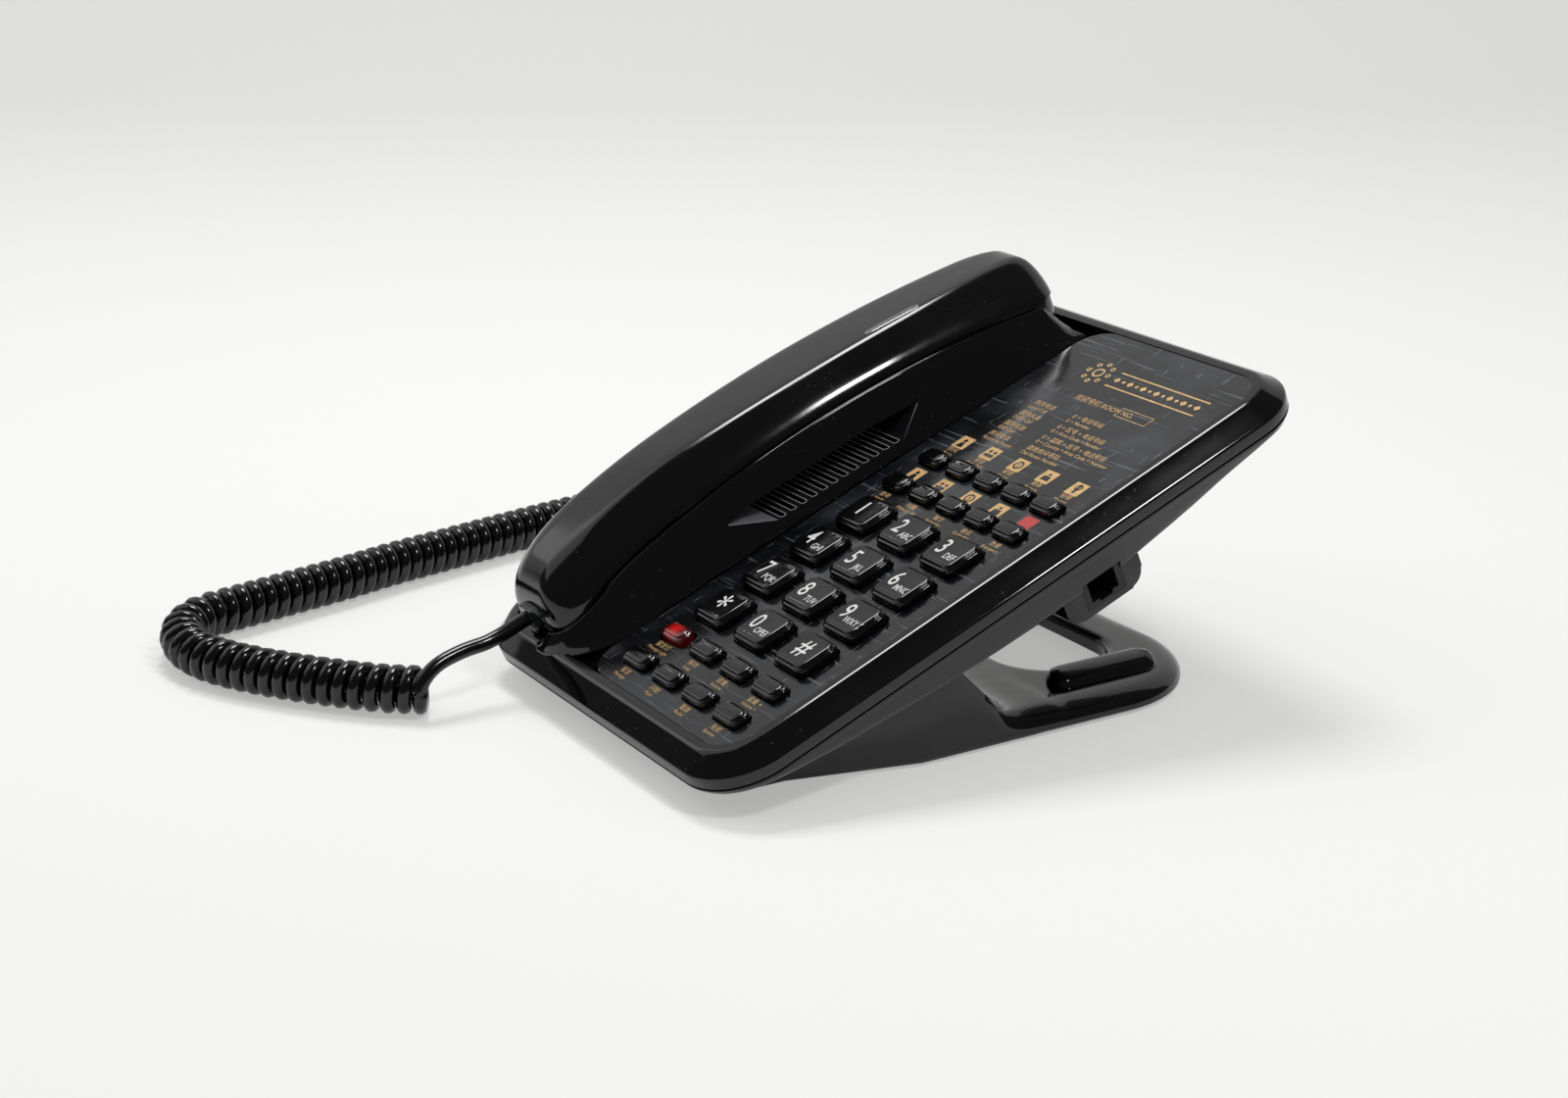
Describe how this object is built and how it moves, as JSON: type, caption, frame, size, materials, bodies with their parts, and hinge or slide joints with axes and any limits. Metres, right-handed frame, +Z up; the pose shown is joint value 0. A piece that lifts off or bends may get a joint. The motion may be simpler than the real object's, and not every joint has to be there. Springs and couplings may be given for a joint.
{
  "type": "desk telephone",
  "caption": "Push-button desk telephone: sloping body on a clip-on wedge stand, arched handset in a side cradle, key field beside it, and a curly handset cord on the table.",
  "frame": {"origin": "middle of the underside of the stand's front rubber foot, on the table", "axes": "+X to the user's right, +Y away from the user, +Z up"},
  "size_m": [0.254, 0.284, 0.115],
  "materials": {
    "housing_plastic": "gloss",
    "stand_plastic": "fine texture",
    "key_plastic": "satin",
    "plate_acrylic": "gloss, scuffed",
    "rubber_black": "matt",
    "red_lens": "translucent gloss",
    "led_epoxy": "clear gloss",
    "silicone_mat": "matt",
    "circuit_board": "solder mask",
    "steel": "zinc plated",
    "component_black": "matt",
    "white_plastic": "satin",
    "lamp_lens": "clear gloss",
    "clear_plug": "clear gloss",
    "cord_jacket": "gloss"
  },
  "bodies": {
    "base": {"stand_base": "stand_plastic", "stand_feet": "rubber_black", "lower_housing": "housing_plastic", "upper_housing": "housing_plastic", "face_plate": "plate_acrylic", "message_light_lens": "red_lens", "message_led": "led_epoxy", "keypad_mat": "silicone_mat", "main_board": "circuit_board", "base_microphone": "steel", "sounder": "component_black", "hook_switch": "component_black", "line_socket": "component_black", "handset_cord_socket": "component_black", "ballast_weight": "steel", "housing_screws": "steel", "cord_handset_lead": "cord_jacket", "cord_coil": "cord_jacket", "cord_base_lead": "cord_jacket", "cord_plug_base": "clear_plug"},
    "handset": {"handset_back": "housing_plastic", "handset_front": "housing_plastic", "handset_lamp_lens": "lamp_lens", "receiver_capsule": "component_black", "handset_microphone": "steel", "handset_socket": "component_black", "handset_weight": "steel", "handset_screws": "steel", "cord_plug_handset": "clear_plug"},
    "hook": {"hook_plunger": "white_plastic"},
    "key_1": {"key_1": "key_plastic"},
    "key_2": {"key_2": "key_plastic"},
    "key_3": {"key_3": "key_plastic"},
    "key_4": {"key_4": "key_plastic"},
    "key_5": {"key_5": "key_plastic"},
    "key_6": {"key_6": "key_plastic"},
    "key_7": {"key_7": "key_plastic"},
    "key_8": {"key_8": "key_plastic"},
    "key_9": {"key_9": "key_plastic"},
    "key_star": {"key_star": "key_plastic"},
    "key_0": {"key_0": "key_plastic"},
    "key_hash": {"key_hash": "key_plastic"},
    "memory_key_1": {"memory_key_1": "key_plastic"},
    "memory_key_2": {"memory_key_2": "key_plastic"},
    "memory_key_3": {"memory_key_3": "key_plastic"},
    "memory_key_4": {"memory_key_4": "key_plastic"},
    "memory_key_5": {"memory_key_5": "key_plastic"},
    "memory_key_6": {"memory_key_6": "key_plastic"},
    "memory_key_7": {"memory_key_7": "key_plastic"},
    "memory_key_8": {"memory_key_8": "key_plastic"},
    "memory_key_9": {"memory_key_9": "key_plastic"},
    "memory_key_10": {"memory_key_10": "key_plastic"},
    "hold_key": {"hold_key": "key_plastic"},
    "volume_down_key": {"volume_down_key": "key_plastic"},
    "volume_up_key": {"volume_up_key": "key_plastic"},
    "message_key": {"message_key": "key_plastic"},
    "flash_key": {"flash_key": "key_plastic"},
    "redial_key": {"redial_key": "key_plastic"},
    "speaker_key": {"speaker_key": "key_plastic"}
  },
  "joints": [
    {"name": "press_key_1", "type": "slide", "parent": "base", "child": "key_1", "axis": [0, 0.3811, -0.9245], "range_m": [0, 0.0015], "stiffness_N_per_m": 500, "springref_m": -0.001},
    {"name": "press_key_2", "type": "slide", "parent": "base", "child": "key_2", "axis": [0, 0.3811, -0.9245], "range_m": [0, 0.0015], "stiffness_N_per_m": 500, "springref_m": -0.001},
    {"name": "press_key_3", "type": "slide", "parent": "base", "child": "key_3", "axis": [0, 0.3811, -0.9245], "range_m": [0, 0.0015], "stiffness_N_per_m": 500, "springref_m": -0.001},
    {"name": "press_key_4", "type": "slide", "parent": "base", "child": "key_4", "axis": [0, 0.3811, -0.9245], "range_m": [0, 0.0015], "stiffness_N_per_m": 500, "springref_m": -0.001},
    {"name": "press_key_5", "type": "slide", "parent": "base", "child": "key_5", "axis": [0, 0.3811, -0.9245], "range_m": [0, 0.0015], "stiffness_N_per_m": 500, "springref_m": -0.001},
    {"name": "press_key_6", "type": "slide", "parent": "base", "child": "key_6", "axis": [0, 0.3811, -0.9245], "range_m": [0, 0.0015], "stiffness_N_per_m": 500, "springref_m": -0.001},
    {"name": "press_key_7", "type": "slide", "parent": "base", "child": "key_7", "axis": [0, 0.3811, -0.9245], "range_m": [0, 0.0015], "stiffness_N_per_m": 500, "springref_m": -0.001},
    {"name": "press_key_8", "type": "slide", "parent": "base", "child": "key_8", "axis": [0, 0.3811, -0.9245], "range_m": [0, 0.0015], "stiffness_N_per_m": 500, "springref_m": -0.001},
    {"name": "press_key_9", "type": "slide", "parent": "base", "child": "key_9", "axis": [0, 0.3811, -0.9245], "range_m": [0, 0.0015], "stiffness_N_per_m": 500, "springref_m": -0.001},
    {"name": "press_key_star", "type": "slide", "parent": "base", "child": "key_star", "axis": [0, 0.3811, -0.9245], "range_m": [0, 0.0015], "stiffness_N_per_m": 500, "springref_m": -0.001},
    {"name": "press_key_0", "type": "slide", "parent": "base", "child": "key_0", "axis": [0, 0.3811, -0.9245], "range_m": [0, 0.0015], "stiffness_N_per_m": 500, "springref_m": -0.001},
    {"name": "press_key_hash", "type": "slide", "parent": "base", "child": "key_hash", "axis": [0, 0.3811, -0.9245], "range_m": [0, 0.0015], "stiffness_N_per_m": 500, "springref_m": -0.001},
    {"name": "press_memory_key_1", "type": "slide", "parent": "base", "child": "memory_key_1", "axis": [0, 0.3811, -0.9245], "range_m": [0, 0.0015], "stiffness_N_per_m": 500, "springref_m": -0.001},
    {"name": "press_memory_key_2", "type": "slide", "parent": "base", "child": "memory_key_2", "axis": [0, 0.3811, -0.9245], "range_m": [0, 0.0015], "stiffness_N_per_m": 500, "springref_m": -0.001},
    {"name": "press_memory_key_3", "type": "slide", "parent": "base", "child": "memory_key_3", "axis": [0, 0.3811, -0.9245], "range_m": [0, 0.0015], "stiffness_N_per_m": 500, "springref_m": -0.001},
    {"name": "press_memory_key_4", "type": "slide", "parent": "base", "child": "memory_key_4", "axis": [0, 0.3811, -0.9245], "range_m": [0, 0.0015], "stiffness_N_per_m": 500, "springref_m": -0.001},
    {"name": "press_memory_key_5", "type": "slide", "parent": "base", "child": "memory_key_5", "axis": [0, 0.3811, -0.9245], "range_m": [0, 0.0015], "stiffness_N_per_m": 500, "springref_m": -0.001},
    {"name": "press_memory_key_6", "type": "slide", "parent": "base", "child": "memory_key_6", "axis": [0, 0.3811, -0.9245], "range_m": [0, 0.0015], "stiffness_N_per_m": 500, "springref_m": -0.001},
    {"name": "press_memory_key_7", "type": "slide", "parent": "base", "child": "memory_key_7", "axis": [0, 0.3811, -0.9245], "range_m": [0, 0.0015], "stiffness_N_per_m": 500, "springref_m": -0.001},
    {"name": "press_memory_key_8", "type": "slide", "parent": "base", "child": "memory_key_8", "axis": [0, 0.3811, -0.9245], "range_m": [0, 0.0015], "stiffness_N_per_m": 500, "springref_m": -0.001},
    {"name": "press_memory_key_9", "type": "slide", "parent": "base", "child": "memory_key_9", "axis": [0, 0.3811, -0.9245], "range_m": [0, 0.0015], "stiffness_N_per_m": 500, "springref_m": -0.001},
    {"name": "press_memory_key_10", "type": "slide", "parent": "base", "child": "memory_key_10", "axis": [0, 0.3811, -0.9245], "range_m": [0, 0.0015], "stiffness_N_per_m": 500, "springref_m": -0.001},
    {"name": "press_hold_key", "type": "slide", "parent": "base", "child": "hold_key", "axis": [0, 0.3811, -0.9245], "range_m": [0, 0.0015], "stiffness_N_per_m": 500, "springref_m": -0.001},
    {"name": "press_volume_down_key", "type": "slide", "parent": "base", "child": "volume_down_key", "axis": [0, 0.3811, -0.9245], "range_m": [0, 0.0015], "stiffness_N_per_m": 500, "springref_m": -0.001},
    {"name": "press_volume_up_key", "type": "slide", "parent": "base", "child": "volume_up_key", "axis": [0, 0.3811, -0.9245], "range_m": [0, 0.0015], "stiffness_N_per_m": 500, "springref_m": -0.001},
    {"name": "press_message_key", "type": "slide", "parent": "base", "child": "message_key", "axis": [0, 0.3811, -0.9245], "range_m": [0, 0.0015], "stiffness_N_per_m": 500, "springref_m": -0.001},
    {"name": "press_flash_key", "type": "slide", "parent": "base", "child": "flash_key", "axis": [0, 0.3811, -0.9245], "range_m": [0, 0.0015], "stiffness_N_per_m": 500, "springref_m": -0.001},
    {"name": "press_redial_key", "type": "slide", "parent": "base", "child": "redial_key", "axis": [0, 0.3811, -0.9245], "range_m": [0, 0.0015], "stiffness_N_per_m": 500, "springref_m": -0.001},
    {"name": "press_speaker_key", "type": "slide", "parent": "base", "child": "speaker_key", "axis": [0, 0.3811, -0.9245], "range_m": [0, 0.0015], "stiffness_N_per_m": 500, "springref_m": -0.001},
    {"name": "lift_handset", "type": "slide", "parent": "base", "child": "handset", "axis": [0, -0.3811, 0.9245], "range_m": [0, 0.06]},
    {"name": "hook_rise", "type": "slide", "parent": "base", "child": "hook", "axis": [0, -0.3811, 0.9245], "range_m": [0, 0.003]}
  ],
  "couplings": [
    {"joint": "hook_rise", "follows": "lift_handset", "ratio": 0.05}
  ]
}
